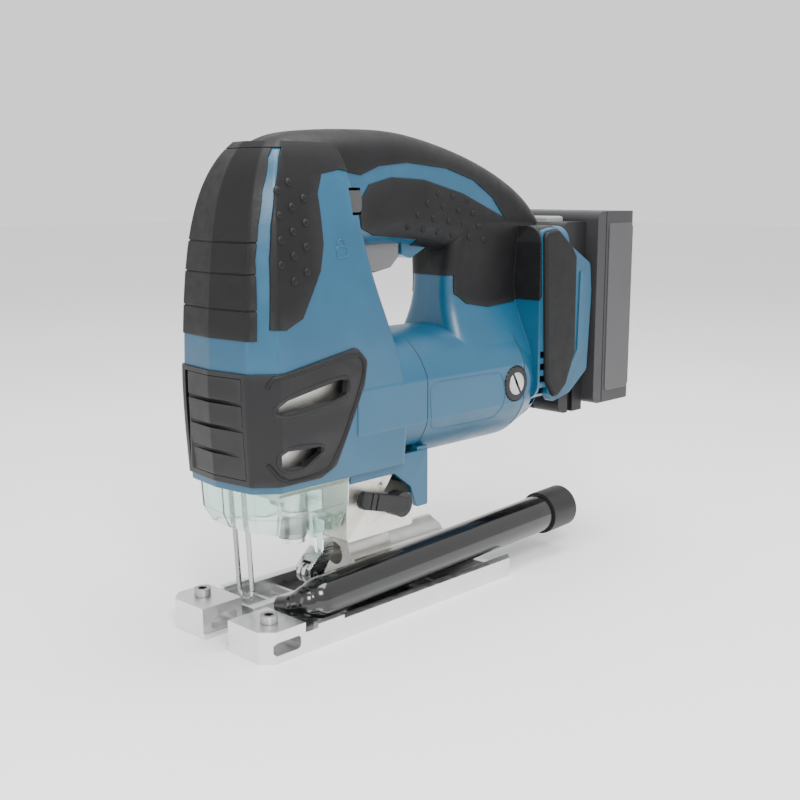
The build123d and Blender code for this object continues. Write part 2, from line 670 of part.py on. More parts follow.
def roller_parts():
    """The forked holder that backs up the blade, with its grooved roller and pins."""
    side = [
        (76, 67), (84, 67), (84, 60), (82.5, 34), (92, 25.5),
        (91.5, 18.5), (85.5, 17.5), (76, 31), (75, 60),
    ]  # fmt: skip
    holder = rounded(side, 1.2, -5.5, 5.5)
    holder = holder - rod("Y", -3.2, 3.2, ROLLER_X, ROLLER_Z, ROLLER_R + 1.2)
    holder = holder - block(ROLLER_X, ROLLER_X + 10, -3.2, 3.2, 0, ROLLER_Z + ROLLER_R + 1.2)
    holder = holder - rod("Y", -8, 8, ROLLER_X, ROLLER_Z, 1.5)
    holder = holder - rod("Y", -8, 8, HOLDER_X, HOLDER_Z, HOLDER_PIN_R + FIT)
    roller = rod("Y", -2.8, 2.8, ROLLER_X, ROLLER_Z, ROLLER_R)
    groove = ring("Y", -0.8, 0.8, ROLLER_X, ROLLER_Z, ROLLER_R + 1, ROLLER_R - 1.5)
    return {
        "roller_holder": holder,
        "guide_roller": roller - groove - rod("Y", -4, 4, ROLLER_X, ROLLER_Z, 1.5 + FIT),
        "roller_pin": rod("Y", -5.5, 5.5, ROLLER_X, ROLLER_Z, 1.5),
        "holder_pin": rod("Y", -13, 13, HOLDER_X, HOLDER_Z, HOLDER_PIN_R),
    }


def orbit_lever():
    face_y = HOUSING_HALF - 0.5
    shaft = rod("Y", -8.5, face_y + 5, LEVER_X, LEVER_Z, LEVER_SHAFT_R)
    hub = rod("Y", face_y + 0.6, face_y + 8, LEVER_X, LEVER_Z, 6.5)
    bar = block(LEVER_X - 5, LEVER_X + 30, face_y + 4.2, face_y + 8.2, LEVER_Z - 4.5, LEVER_Z + 4.5)
    bar = fillet(bar.edges().filter_by(Axis.Y), 3.5)
    bar = fillet(bar.faces().sort_by(Axis.Y)[-1].edges(), 1.0)
    grip = [
        block(x, x + 1.2, face_y + 7.6, 60, LEVER_Z - 6, LEVER_Z + 6)
        for x in (LEVER_X + 19, LEVER_X + 23)
    ]
    lever = shaft + hub + (bar - grip[0] - grip[1])
    return turned(lever, -15, (LEVER_X, 0, LEVER_Z), (0, 1, 0))


# ---------------------------------------------------------------- motor
def motor_parts():
    can = ring("X", -27, 31, 0, MOTOR_Z, CAN_R, CAN_R - CAN_WALL)
    arc = ring("X", -21, 23, 0, MOTOR_Z, CAN_R - CAN_WALL, 18.4)
    core = rod("X", -20, 20, 0, MOTOR_Z, 17.6)
    for n in range(12):
        tooth_gap = block(-21, 21, -1.3, 1.3, MOTOR_Z + 10, MOTOR_Z + 20)
        core = core - turned(tooth_gap, 30 * n, (0, 0, MOTOR_Z), (1, 0, 0))
    bars = rod("X", BRUSH_X - 4.5, BRUSH_X + 7, 0, MOTOR_Z, 9.5)
    for n in range(12):
        mica = block(BRUSH_X - 5, BRUSH_X + 5, -0.3, 0.3, MOTOR_Z + 8.7, MOTOR_Z + 10)
        bars = bars - turned(mica, 30 * n, (0, 0, MOTOR_Z), (1, 0, 0))
    fan = ring("X", 37, 39, 0, MOTOR_Z, 24, 6) + rod("X", 37, 47, 0, MOTOR_Z, 7)
    for n in range(14):
        blade = block(38.5, 46, -0.8, 0.8, MOTOR_Z + 9, MOTOR_Z + 23.8)
        blade = turned(blade, 25, (42, 0, MOTOR_Z), (0, 0, 1))
        turned_blade = turned(blade, 360 / 14 * n, (0, 0, MOTOR_Z), (1, 0, 0))
        fan = fan + (turned_blade & block(37, 47, -30, 30, 60, 150))
    bore = rod("X", -80, 80, 0, MOTOR_Z, SHAFT_R)
    made = {
        "motor_can": can,
        "motor_magnets": arc - block(-30, 30, -30, 30, MOTOR_Z - 5, MOTOR_Z + 5),
        "armature_shaft": rod("X", BEARING_REAR_X, GEAR_X + GEAR_WIDTH + 1, 0, MOTOR_Z, SHAFT_R),
        "armature_core": core - bore,
        "commutator": bars - bore,
        "cooling_fan": fan - bore,
        "bearing_front": bearing(BEARING_FRONT_X, 6, BEARING_FRONT_R),
        "bearing_rear": bearing(BEARING_REAR_X, 5, BEARING_REAR_R),
    }
    holder = block(BRUSH_X - 5.5, BRUSH_X + 5.5, 11, 25.5, MOTOR_Z - 5, MOTOR_Z + 5) - brush(5, 24.0, 0.1)
    made["carbon_brushes"] = pair(brush(9.9, 21.0, 0))
    made["brush_holders"] = pair(holder)
    made["brush_caps"] = pair(brush_cap())
    return made


def bearing(x, width, radius):
    race = ring("X", x, x + width, 0, MOTOR_Z, radius, SHAFT_R + FIT)
    groove = ring("X", x - 1, x + 0.8, 0, MOTOR_Z, radius - 1.2, SHAFT_R + 1.2)
    return race - groove - (Pos(width + 0.2, 0, 0) * groove)


def brush(start, end, grow):
    half_x, half_z = 3 + grow, 2.5 + grow
    return block(BRUSH_X - half_x, BRUSH_X + half_x, start, end, MOTOR_Z - half_z, MOTOR_Z + half_z)


def brush_cap():
    """The knurled screw cap over a brush."""
    cap = rod("Y", 25.8, BODY_HALF + 1.2, BRUSH_X, MOTOR_Z, BRUSH_CAP_R)
    cap = chamfer(cap.edges().sort_by(Axis.Y)[-1], 1.0)
    for n in range(24):
        notch_floor = MOTOR_Z + BRUSH_CAP_R - 0.6
        notch = block(BRUSH_X - 0.4, BRUSH_X + 0.4, BODY_HALF - 2.5, 40, notch_floor, MOTOR_Z + 12)
        cap = cap - turned(notch, 15 * n, (BRUSH_X, 0, MOTOR_Z), (0, 1, 0))
    slot = block(BRUSH_X - 0.9, BRUSH_X + 0.9, BODY_HALF - 0.6, 40, MOTOR_Z - 6, MOTOR_Z + 6)
    return cap - slot


# ---------------------------------------------------------------- controls and electrics
def coil(x, y, start, end, radius, wire, turns):
    """A compression spring along Z."""
    height = end - start - 2 * wire
    path = Pos(x, y, start + wire) * Helix(pitch=height / turns, height=height, radius=radius - wire)
    section = Plane(origin=path @ 0, z_dir=path % 0) * Circle(wire)
    return sweep(section, path, is_frenet=True)


TRIGGER_SPRING_X = 46.0
SWITCH_FLOOR = 200.0


def control_parts():
    side = [(30, 193), (30.5, 181), (36, 176), (48, 173.8), (58, 175), (63.4, 181), (63.8, 193)]
    trigger = rounded(side, 1.5, -9, 9)
    trigger = soften(trigger, trigger.faces().sort_by(Axis.Y)[-1].edges(), (1.4, 1.0))
    trigger = soften(trigger, trigger.faces().sort_by(Axis.Y)[0].edges(), (1.4, 1.0))
    trigger = trigger & block(0, 100, -9, 9, 150, 192)
    trigger = trigger + block(26.5, 67.5, -6, 6, 191.2, 193.2)
    trigger = trigger - rod("Z", 182, 195, TRIGGER_SPRING_X, 0, 4)
    ends = both(block(LOCK_X - 5, LOCK_X + 5, 12, 21.2, LOCK_Z - 5.2, LOCK_Z + 5.2))
    ends = fillet(ends.edges().filter_by(Axis.Y), 2.0)
    lock = ends + block(LOCK_X - 3.5, LOCK_X + 3.5, -13, 13, LOCK_Z - 3, LOCK_Z + 3)
    switch = block(27, 60, -9, 9, SWITCH_FLOOR, SWITCH_FLOOR + 18)
    switch = fillet(switch.edges().filter_by(Axis.X), 1.5)
    board = block(-6, 18, -11, 11, 204, 205.6)
    for x, y, size in ((-1, -4, 4), (8, 4, 3), (13, -5, 2.5)):
        board = board + block(x - size, x + size, y - size, y + size, 205.5, 205.5 + size)
    plug = block(-81.5, -70.2, -14, 14, 119.3, 165.7)
    for y in (-9, 0, 9):
        plug = plug + block(-96, -81, y - 0.5, y + 0.5, 138, 158)
    return {
        "trigger": trigger,
        "trigger_spring": coil(TRIGGER_SPRING_X, 0, 182, SWITCH_FLOOR, 3.6, 0.4, 5),
        "lock_button": lock,
        "switch_body": switch,
        "control_board": board,
        "terminal_block": plug,
    }


# ---------------------------------------------------------------- tilting base
def saddle_ring(inner, outer, x0, x1):
    tube = ring("X", x0, x1, 0, TILT_Z, outer, inner)
    return tube & block(x0, x1, -50, 50, 0, TILT_Z)


SADDLE_BACK = -24.0
SADDLE_FRONT = 70.0


def saddle():
    inner = SEAT_R + 0.2
    outer = inner + SADDLE_WALL
    trough = saddle_ring(inner, outer, SADDLE_BACK, SADDLE_FRONT)
    slope = block(SADDLE_BACK - 40, SADDLE_BACK, -30, 30, 0, 60)
    slope = turned(slope, 48, (SADDLE_BACK, 0, TILT_Z - 6), (0, 1, 0))
    foot = block(SADDLE_BACK + 44, SADDLE_FRONT, -8, 8, DECK, TILT_Z - inner - 1)
    body = trough + foot - slope
    body = body - rod("Z", DECK - 1, TILT_Z, BOLT_X, 0, BOLT_R + FIT)
    for degrees in (0, 22.5, 45):
        bottom = TILT_Z - outer
        mark = block(SADDLE_FRONT - 0.5, SADDLE_FRONT + 1, -0.3, 0.3, bottom - 1, bottom + 1.8)
        body = body - turned(mark, degrees + 30, (0, 0, TILT_Z), (1, 0, 0))
    return body


def base_parts():
    front, back, half = FRONT, FRONT - BASE_LENGTH, BASE_WIDTH / 2
    sole = block(back, front, -half, half, 0, 3)
    sole = chamfer(sole.edges().filter_by(Axis.Z), 6.0)
    outline = sole.faces().sort_by(Axis.Z)[0]
    body = sole + block(back + 8, 118, -14, 14, 2, DECK)
    body = body + both(block(back + 2, front, half - 5.5, half, 2, RAIL_TOP))
    body = body + both(block(99, 116, half - 3.7, half, 2, 12.4))
    body = body + both(block(124, front, SLOT_HALF + 1.5, half, 2, FOOT_TOP))
    corners = extrude(outline, amount=-30)
    body = body & corners
    for x in (20.0, 34.0, 84.0, 100.0, 114.0):
        body = body + both(block(x, x + 2, 13, half - 4, 2, 6.5))
    body = body - block(82, front + 1, -SLOT_HALF, SLOT_HALF, -1, 30)
    travel = (BOLT_X - BOLT_R - 0.5, BOLT_X + BOLT_R + 0.5 + SLIDE_BACK)
    body = body - block(*travel, -BOLT_R - 0.5, BOLT_R + 0.5, -1, DECK + 1)
    body = body - block(travel[0] - 3, travel[1] + 3, -6, 6, -1, 5)
    tunnel = block(127, 143, -50, 50, 3.8, 10.2)
    tunnel = fillet(tunnel.edges().filter_by(Axis.Y), 2.0)
    body = body - tunnel
    for side in (1, -1):
        body = body - rod("Z", 10, 20, 136, side * 26, 3)
    return body


def base_screws():
    made = []
    for side in (1, -1):
        screw = rod("Z", 10.3, FOOT_TOP + 2.0, 136, side * 26, 2.9)
        head = rod("Z", FOOT_TOP + 0.1, FOOT_TOP + 4.0, 136, side * 26, 4.2)
        socket = extrude(Pos(136, side * 26, FOOT_TOP + 1.5) * RegularPolygon(2.4, 6), amount=4)
        made.append(screw + head - socket)
    return Compound(made)


def base_inserts():
    """Black inserts set between the rails."""
    back = FRONT - BASE_LENGTH
    made = []
    for x0, x1 in ((back + 10, 19.7), (36.3, 83.7)):
        made.append(block(x0, x1, 14.3, BASE_WIDTH / 2 - 5.8, 3, 5))
    return pair(Compound(made))


def bolt_parts():
    head = rod("Z", 1, 4.7, BOLT_X, 0, 5)
    socket = extrude(Pos(BOLT_X, 0, 0) * RegularPolygon(2.9, 6), amount=3)
    shank = rod("Z", 4.5, TILT_Z - 1, BOLT_X, 0, BOLT_R)
    nut = rod("X", 45, 61, 0, TILT_Z, NUT_R) - rod("Z", 10, TILT_Z + 1, BOLT_X, 0, BOLT_R)
    return {"base_bolt": head + shank - socket, "barrel_nut": nut}


NOZZLE_Y = 26.0
NOZZLE_AXIS = [(-93.0, NOZZLE_Y, 25.9), (-72.0, NOZZLE_Y, 25.2), (104.0, NOZZLE_Y, 19.2)]
NOZZLE_NECK = [NOZZLE_AXIS[-1], (110.0, 24.3, 18.2), (116.0, 19.0, 16.6), (117.5, 11.8, 15.2)]


def nozzle_parts():
    radii = [NOZZLE_R, 8.4, 5.4, 4.6]
    outer = links(NOZZLE_AXIS[1:], [NOZZLE_R + 0.5, NOZZLE_R]) + links(NOZZLE_NECK, radii)
    outer.append(Pos(*NOZZLE_NECK[0]) * Sphere(NOZZLE_R))
    inner = links(NOZZLE_AXIS[1:], [NOZZLE_R + 0.5 - NOZZLE_WALL, NOZZLE_R - NOZZLE_WALL])
    inner += links(NOZZLE_NECK, [r - NOZZLE_WALL for r in radii])
    inner.append(Pos(*NOZZLE_NECK[0]) * Sphere(NOZZLE_R - NOZZLE_WALL))
    tip, before = Vector(*NOZZLE_NECK[-1]), Vector(*NOZZLE_NECK[-2])
    beyond = tip + (tip - before).normalized() * 2
    inner += links([tuple(tip), tuple(beyond)], [radii[-1] - NOZZLE_WALL] * 2)
    tube = fused(outer) - fused(inner)
    start, end = Vector(*NOZZLE_AXIS[0]), Vector(*NOZZLE_AXIS[1])
    span = end - start
    middle = Plane(origin=start + span * 0.5, z_dir=span.normalized())
    collar = middle * (Cylinder(COLLAR_R, span.length) - Cylinder(COLLAR_R - 3.2, span.length + 2))
    collar = collar - fused([tube])
    return {"dust_nozzle": tube, "nozzle_collar": collar}


# ---------------------------------------------------------------- battery
PACK_WALL = 1.6
ROWS = 5


def cell_rows():
    pitch = 2 * CELL_R + 0.3
    middle = (PACK_FLOOR + PACK_TOP) / 2
    heights = [middle + pitch * (n - (ROWS - 1) / 2) for n in range(ROWS)]
    rear_x = REAR + PACK_WALL + 0.4 + CELL_R
    return rear_x, rear_x + pitch, heights


def battery_parts():
    half = PACK_WIDTH / 2
    shell = block(REAR, PACK_FRONT, -half, half, PACK_FLOOR, PACK_TOP)
    upright = shell.edges().filter_by(Axis.Z).sort_by(Axis.X)[:2]
    shell = fillet(shell.edges().filter_by(Axis.Y) + upright, 5.0)
    inside = block(REAR + PACK_WALL, PACK_FRONT - 1.5, -half + 2, half - 2, PACK_FLOOR + 2, PACK_TOP - 2)
    seam = ring_box(REAR, PACK_FRONT, half, PACK_FLOOR, PACK_TOP)
    shell = shell - inside - seam
    nose = block(PACK_FRONT, NOSE_FRONT, -NOSE_HALF, NOSE_HALF, PACK_FLOOR - 4, PACK_TOP - 6)
    nose = fillet(nose.edges().filter_by(Axis.Y).sort_by(Axis.X)[2:], 6.0)
    nose = nose - block(PACK_FRONT - 1, NOSE_FRONT - 2, -24, 24, PACK_FLOOR + 2, PACK_TOP - 12)
    nose = nose + block(PACK_FRONT, PACK_FRONT + 2, -24, 24, PACK_FLOOR + 1, PACK_TOP - 11)
    nose = nose - both(block(-98.4, -93.6, NOSE_HALF - 2.5, NOSE_HALF + 2, PACK_FLOOR - 10, 172.4))
    for y in (-9, 0, 9):
        nose = nose - block(-97, -80, y - 1.2, y + 1.2, PACK_FLOOR - 10, 159)
    nose = nose - block(-105.3, -88.7, -14.3, 14.3, PACK_TOP - 13, PACK_TOP)
    button = block(-105, -89, -14, 14, PACK_TOP - 9, PACK_TOP - 3)
    button = fillet(button.edges().group_by(Axis.Z)[-1], 1.5)
    for x in (-101.0, -97.5, -94.0):
        button = button - block(x - 0.5, x + 0.5, -10, 10, PACK_TOP - 3.6, PACK_TOP)
    rear_x, front_x, heights = cell_rows()
    length = CELL_LENGTH / 2
    made = {"battery_shell": shell, "battery_nose": nose, "battery_button": button}
    made["battery_cells"] = Compound([
        rod("Y", -length, length, x, z, CELL_R) for x in (rear_x, front_x) for z in heights
    ])
    strap = block(rear_x - 7, front_x + 7, length, length + 1.0, heights[0] - 8, heights[-1] + 8)
    made["cell_straps"] = pair(strap)
    return made


def ring_box(x0, x1, half, z0, z1):
    """A shallow panel line round the battery."""
    x = x1 - 9
    outer = block(x, x + 0.8, -half - 1, half + 1, z0 - 1, z1 + 1)
    return outer - block(x - 1, x + 2, -half + 0.6, half - 0.6, z0 + 0.6, z1 - 0.6)


# ---------------------------------------------------------------- everything
def build():
    made = casing_parts()
    made["rear_pads"] = pair(cheek_pad())
    made["gear_housing"] = gear_housing()
    made["gear_housing_cover"] = gear_cover()
    made["wire_guard"] = wire_guard()
    made["clear_cover"] = clear_cover()
    made["orbit_lever"] = orbit_lever()
    made["bevel_saddle"] = saddle()
    made["base_plate"] = base_parts()
    made["base_screws"] = base_screws()
    made["base_inserts"] = base_inserts()
    groups = (gear_train(), plunger_parts(), roller_parts(), motor_parts(), control_parts(), bolt_parts())
    for parts in groups:
        made |= parts
    return made | nozzle_parts() | battery_parts()


if __name__ == "__main__":
    os.makedirs("parts", exist_ok=True)
    for name, shape in build().items():
        shape.label = name
        export_step(shape, "parts/" + name + ".step")
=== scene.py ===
import json
from math import asin, cos, pi, radians, sin

import bmesh
import bpy
from mathutils import Matrix, Vector
from mathutils.bvhtree import BVHTree


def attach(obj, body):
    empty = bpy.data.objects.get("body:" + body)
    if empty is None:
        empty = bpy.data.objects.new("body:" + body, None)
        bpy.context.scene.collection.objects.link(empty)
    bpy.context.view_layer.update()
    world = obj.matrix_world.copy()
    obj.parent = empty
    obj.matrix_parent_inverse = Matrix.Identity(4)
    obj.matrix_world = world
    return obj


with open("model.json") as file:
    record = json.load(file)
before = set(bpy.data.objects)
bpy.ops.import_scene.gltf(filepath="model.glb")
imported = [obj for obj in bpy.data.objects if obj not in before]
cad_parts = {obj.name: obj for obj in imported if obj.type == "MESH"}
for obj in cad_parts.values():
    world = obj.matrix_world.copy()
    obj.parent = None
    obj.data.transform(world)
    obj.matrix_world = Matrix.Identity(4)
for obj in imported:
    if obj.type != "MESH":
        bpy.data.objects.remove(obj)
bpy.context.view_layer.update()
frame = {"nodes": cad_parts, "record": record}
nodes = frame["nodes"]
MM = 0.001  # lengths and outlines below are in millimetres unless they say otherwise
SIDES = ((1, "left"), (-1, "right"))


# ---------------------------------------------------------------- camera
CAMERA_AT = Vector((455.1, 420.8, 215.9)) * MM
YAW, PITCH = radians(44.08), radians(10.57)
FOCAL_LENGTH, SENSOR_WIDTH = 50.9, 36.0
camera_data = bpy.data.cameras.new("camera")
camera_data.lens = FOCAL_LENGTH
camera_data.sensor_width = SENSOR_WIDTH
camera_data.clip_start = 0.01
camera = bpy.data.objects.new("camera", camera_data)
bpy.context.scene.collection.objects.link(camera)
camera.location = CAMERA_AT
forward = Vector((-cos(PITCH) * cos(YAW), -cos(PITCH) * sin(YAW), -sin(PITCH)))
camera.rotation_euler = forward.to_track_quat("-Z", "Y").to_euler()
bpy.context.scene.camera = camera


# ---------------------------------------------------------------- materials
class Shader:
    """A Principled material that is built up node by node."""

    def __init__(self, name, color, rough, metal=0.0, **inputs):
        self.material = bpy.data.materials.new(name)
        self.material.use_nodes = True
        self.tree = self.material.node_tree
        self.links = self.tree.links
        self.main = self.tree.nodes["Principled BSDF"]
        self.color = color
        self.main.inputs["Base Color"].default_value = (*color, 1)
        self.main.inputs["Roughness"].default_value = rough
        self.main.inputs["Metallic"].default_value = metal
        for key, value in inputs.items():
            self.main.inputs[key.replace("_", " ")].default_value = value
        self.coords = self.add("ShaderNodeTexCoord").outputs["Object"]
        self.normal = None

    def add(self, kind, **settings):
        node = self.tree.nodes.new(kind)
        for key, value in settings.items():
            setattr(node, key, value)
        return node

    def stretch(self, scale):
        """Object coordinates scaled along each axis."""
        node = self.add("ShaderNodeMapping")
        node.inputs["Scale"].default_value = scale
        self.links.new(self.coords, node.inputs["Vector"])
        return node.outputs["Vector"]

    def noise(self, scale, detail=3.0, vector=None, rough=0.6):
        node = self.add("ShaderNodeTexNoise")
        node.inputs["Scale"].default_value = scale
        node.inputs["Detail"].default_value = detail
        node.inputs["Roughness"].default_value = rough
        self.links.new(vector or self.coords, node.inputs["Vector"])
        return node.outputs["Fac"]

    def cells(self, scale):
        node = self.add("ShaderNodeTexVoronoi")
        node.inputs["Scale"].default_value = scale
        self.links.new(self.coords, node.inputs["Vector"])
        return node.outputs["Distance"]

    def ramp(self, value, stops):
        node = self.add("ShaderNodeValToRGB")
        ramp = node.color_ramp
        while len(ramp.elements) < len(stops):
            ramp.elements.new(0.5)
        for element, (place, color) in zip(ramp.elements, stops):
            element.position = place
            element.color = (*color, 1) if len(color) == 3 else color
        self.links.new(value, node.inputs["Fac"])
        return node.outputs["Color"]

    def spread(self, value, low, high):
        """The middle of a noise's range, mapped to low..high."""
        node = self.add("ShaderNodeMapRange")
        node.inputs["From Min"].default_value = 0.3
        node.inputs["From Max"].default_value = 0.7
        node.inputs["To Min"].default_value = low
        node.inputs["To Max"].default_value = high
        self.links.new(value, node.inputs["Value"])
        return node.outputs["Result"]

    def round_edges(self, radius):
        """Edges that catch the light as if rounded by radius metres."""
        node = self.add("ShaderNodeBevel", samples=4)
        node.inputs["Radius"].default_value = radius
        self.normal = node.outputs["Normal"]
        return self

    def bump(self, height, strength, distance):
        node = self.add("ShaderNodeBump")
        node.inputs["Strength"].default_value = strength
        node.inputs["Distance"].default_value = distance
        self.links.new(height, node.inputs["Height"])
        if self.normal:
            self.links.new(self.normal, node.inputs["Normal"])
        self.normal = node.outputs["Normal"]
        return self

    def tint(self, value, dark, light):
        """Colour that wanders between two shades of the base colour."""
        shades = [tuple(min(1.0, c * k) for c in self.color) for k in (dark, light)]
        shade = self.ramp(value, [(0.3, shades[0]), (0.7, shades[1])])
        self.links.new(shade, self.main.inputs["Base Color"])
        return self

    def polish(self, value, low, high):
        self.links.new(self.spread(value, low, high), self.main.inputs["Roughness"])
        return self

    def worn(self, color, amount):
        """Bare or rubbed colour where the surface turns sharply outwards."""
        pointed = self.add("ShaderNodeNewGeometry").outputs["Pointiness"]
        edge = self.ramp(pointed, [(0.52, (0, 0, 0)), (0.60, (amount,) * 3)])
        mix = self.add("ShaderNodeMix", data_type="RGBA")
        base = self.main.inputs["Base Color"]
        if base.is_linked:
            self.links.new(base.links[0].from_socket, mix.inputs["A"])
        else:
            mix.inputs["A"].default_value = (*self.color, 1)
        mix.inputs["B"].default_value = (*color, 1)
        self.links.new(edge, mix.inputs["Factor"])
        self.links.new(mix.outputs["Result"], base)
        return self

    def done(self):
        if self.normal:
            self.links.new(self.normal, self.main.inputs["Normal"])
        return self.material


def moulded(name, color, rough, grain=1500.0, depth=0.00004, edge=0.0004, **inputs):
    """Moulded plastic: fine spark-eroded grain, faint mottling and rounded edges."""
    s = Shader(name, color, rough, **inputs)
    s.tint(s.noise(45.0, 4.0), 0.93, 1.07)
    s.polish(s.noise(90.0, 5.0), rough - 0.05, rough + 0.08)
    s.round_edges(edge)
    s.bump(s.noise(grain, 2.0), 0.35, depth)
    s.worn(tuple(min(1.0, c * 1.25 + 0.02) for c in color), 0.35)
    return s.done()


def soft_rubber(name, color, rough, edge=0.0006):
    """Overmoulded rubber: leathery cells over a fine grain."""
    s = Shader(name, color, rough, Specular_IOR_Level=0.22)
    s.tint(s.noise(60.0, 5.0), 0.85, 1.15)
    s.polish(s.noise(140.0, 4.0), rough - 0.06, rough + 0.10)
    s.round_edges(edge)
    s.bump(s.cells(900.0), 0.25, 0.00008)
    s.bump(s.noise(2600.0, 2.0), 0.25, 0.00004)
    s.worn(tuple(min(1.0, c * 1.5 + 0.02) for c in color), 0.3)
    return s.done()


def cast(name, color, rough):
    """Die-cast and bead-blasted aluminium."""
    s = Shader(name, color, rough, 1.0)
    s.tint(s.noise(70.0, 6.0), 0.88, 1.06)
    s.polish(s.noise(220.0, 5.0), rough - 0.08, rough + 0.12)
    s.round_edges(0.0005)
    s.bump(s.noise(700.0, 5.0), 0.35, 0.00010)
    s.bump(s.cells(1700.0), 0.15, 0.00004)
    s.worn((0.95, 0.95, 0.94), 0.5)
    return s.done()


def brushed(name, color, rough, along=(40, 40, 2500)):
    """Ground or turned steel with fine lines."""
    s = Shader(name, color, rough, 1.0)
    lines = s.noise(1.0, 2.0, s.stretch(along))
    s.tint(lines, 0.90, 1.08)
    s.polish(lines, rough - 0.07, rough + 0.12)
    s.round_edges(0.0003)
    s.bump(lines, 0.2, 0.00003)
    s.worn((0.9, 0.9, 0.9), 0.4)
    return s.done()


def clear(name):
    """Clear acrylic with a faint green cast and slightly wavy faces."""
    look = {"IOR": 1.49, "Transmission_Weight": 1.0, "Specular_IOR_Level": 0.6}
    s = Shader(name, (0.74, 0.90, 0.84), 0.06, **look)
    s.polish(s.noise(120.0, 4.0), 0.03, 0.14)
    s.round_edges(0.0005)
    s.bump(s.noise(160.0, 3.0), 0.12, 0.0002)
    return s.done()


TEAL = (0.004, 0.066, 0.128)
plastic = {
    "grey_plastic": ((0.11, 0.11, 0.115), 0.38),
    "light_plastic": ((0.26, 0.265, 0.27), 0.40),
    "carbon": ((0.03, 0.03, 0.03), 0.6),
    "cell_wrap": ((0.05, 0.22, 0.09), 0.3),
    "board_green": ((0.02, 0.13, 0.05), 0.35),
    "lock_grey": ((0.035, 0.035, 0.037), 0.45),
}
looks = {name: moulded(name, color, rough) for name, (color, rough) in plastic.items()}
looks["teal_plastic"] = moulded(
    "teal_plastic", TEAL, 0.36, grain=1900.0, depth=0.00003, edge=0.0005, Coat_Weight=0.12, Coat_Roughness=0.3
)
looks["gloss_black"] = moulded(
    "gloss_black", (0.003, 0.003, 0.0035), 0.16, grain=500.0, depth=0.00003, edge=0.0005, Coat_Weight=0.5
)
looks["panel_grey"] = moulded("panel_grey", (0.050, 0.050, 0.053), 0.33, grain=1600.0, depth=0.00003)
looks["black_plastic"] = moulded("black_plastic", (0.008, 0.008, 0.009), 0.40, Specular_IOR_Level=0.3)
looks["battery_grey"] = moulded("battery_grey", (0.022, 0.022, 0.024), 0.38, Specular_IOR_Level=0.35)
looks["black_rubber"] = soft_rubber("black_rubber", (0.0075, 0.0075, 0.0082), 0.46)
looks["clear_plastic"] = clear("clear_plastic")
looks["cast_aluminium"] = cast("cast_aluminium", (0.62, 0.60, 0.53), 0.42)
looks["base_aluminium"] = cast("base_aluminium", (0.60, 0.605, 0.61), 0.34)
metal = {
    "steel": ((0.62, 0.62, 0.63), 0.25),
    "dark_steel": ((0.10, 0.10, 0.105), 0.38),
    "bronze": ((0.55, 0.36, 0.18), 0.35),
    "guard_steel": ((0.30, 0.30, 0.31), 0.22),
    "knurl_steel": ((0.42, 0.42, 0.43), 0.35),
}
for name, (color, rough) in metal.items():
    looks[name] = brushed(name, color, rough)
looks["zinc_steel"] = brushed("zinc_steel", (0.74, 0.75, 0.77), 0.22, along=(60, 60, 900))
looks["copper"] = brushed("copper", (0.72, 0.36, 0.22), 0.28, along=(2500, 40, 40))

slot_of = {s["node"]: s["material_slot"] for s in frame["record"]["subparts"]}
# Two nodes and two added looks that differ from the record's slots.
own_look = {"lock_button": "lock_grey", "wire_guard": "guard_steel"}
for name, obj in nodes.items():
    for slot in obj.material_slots:
        slot.material = looks[own_look.get(name, slot_of[name])]


# ---------------------------------------------------------------- making pieces
RAY_START = 0.08  # metres from the blade plane, outside every node


def surface_of(*names):
    """A ray-casting tree over several CAD nodes at rest."""
    verts, faces = [], []
    for name in names:
        mesh = nodes[name].data
        base = len(verts)
        verts += [v.co.copy() for v in mesh.vertices]
        faces += [[base + i for i in p.vertices] for p in mesh.polygons]
    return BVHTree.FromPolygons(verts, faces)


def new_piece(name, mesh, body, look, smooth=True):
    """A visible piece made of one mesh that rides on a body."""
    obj = bpy.data.objects.new(name, mesh)
    bpy.context.scene.collection.objects.link(obj)
    if smooth:
        for polygon in mesh.polygons:
            polygon.use_smooth = True
    mesh.materials.append(looks[look])
    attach(obj, body)
    return obj


def mesh_of(bm, name):
    """Turns a bmesh into a mesh and frees it."""
    mesh = bpy.data.meshes.new(name)
    bm.to_mesh(mesh)
    bm.free()
    return mesh


def from_side(tree, x, z, side):
    """The point and normal where a level ray from one side meets the surface, or None twice."""
    start = Vector((x * MM, side * RAY_START, z * MM))
    return tree.ray_cast(start, Vector((0, -side, 0)))[:2]


def studs(name, tree, places, side, radius, height, body, look):
    """Low round studs standing on a surface."""
    bm = bmesh.new()
    for x, z in places:
        hit, normal = from_side(tree, x, z, side)
        if hit is None:
            continue
        turn = normal.to_track_quat("Z", "Y").to_matrix().to_4x4()
        squash = Matrix.Diagonal((radius, radius, height, 1))
        bmesh.ops.create_uvsphere(
            bm, u_segments=20, v_segments=12, radius=1.0, matrix=Matrix.Translation(hit) @ turn @ squash
        )
    return new_piece(name, mesh_of(bm, name), body, look)


def spread_out(points, step):
    """Points every step or so along a closed outline."""
    out = []
    for n, (x0, z0) in enumerate(points):
        x1, z1 = points[(n + 1) % len(points)]
        count = max(1, int(((x1 - x0) ** 2 + (z1 - z0) ** 2) ** 0.5 / step))
        out += [(x0 + (x1 - x0) * k / count, z0 + (z1 - z0) * k / count) for k in range(count)]
    return out


def rounded_outline(points, cut=0.25):
    """Cuts each corner of a closed outline twice over."""
    for _ in range(2):
        out = []
        for n, (x0, z0) in enumerate(points):
            x1, z1 = points[(n + 1) % len(points)]
            out.append((x0 + (x1 - x0) * cut, z0 + (z1 - z0) * cut))
            out.append((x1 + (x0 - x1) * cut, z1 + (z0 - z1) * cut))
        points = out
    return points


